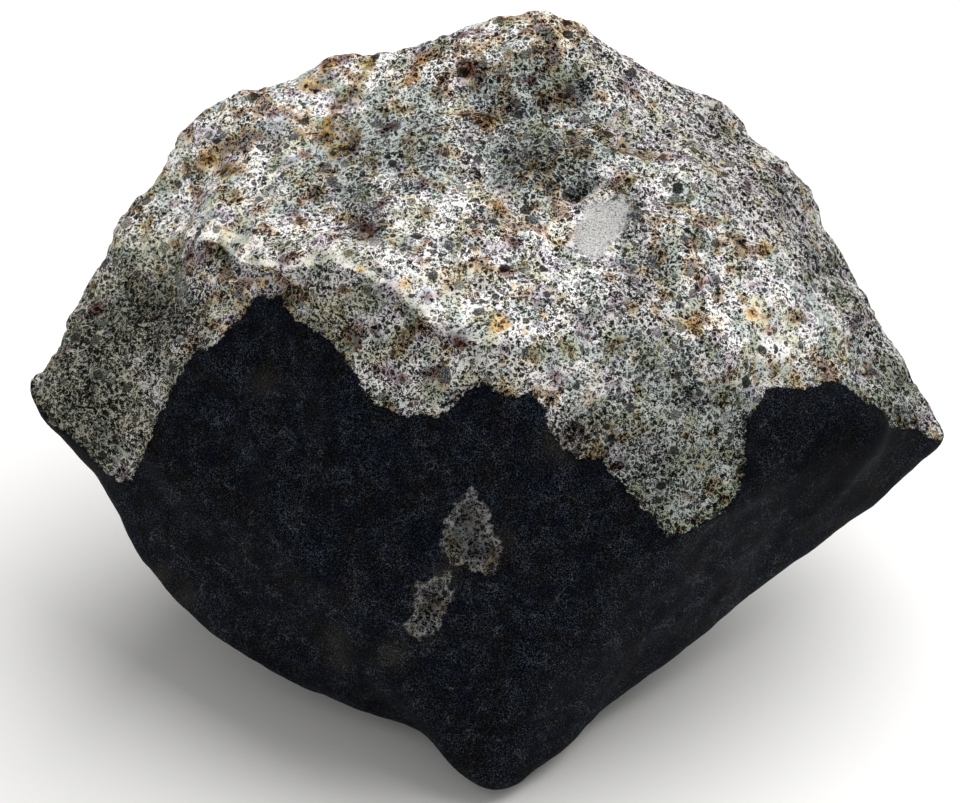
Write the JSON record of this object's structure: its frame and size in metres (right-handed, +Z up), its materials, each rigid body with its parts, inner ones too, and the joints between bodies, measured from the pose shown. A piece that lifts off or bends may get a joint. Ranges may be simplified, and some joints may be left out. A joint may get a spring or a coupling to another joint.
{
  "type": "chondrite meteorite",
  "caption": "Broken stony meteorite with a black fusion crust below and a speckled grey, rust-stained broken top, standing on a flat foot.",
  "frame": {"origin": "on the ground, at the bottom centre of the stone's bounding box", "axes": "+Z up; +X from the left tip to the right tip, the long way; the crusted front faces -Y"},
  "size_m": [0.0652, 0.0462, 0.0391],
  "materials": {
    "chondrite": "rough broken stone, with a satin black melted crust below"
  },
  "bodies": {
    "root": {"meteorite": "chondrite"}
  },
  "joints": []
}
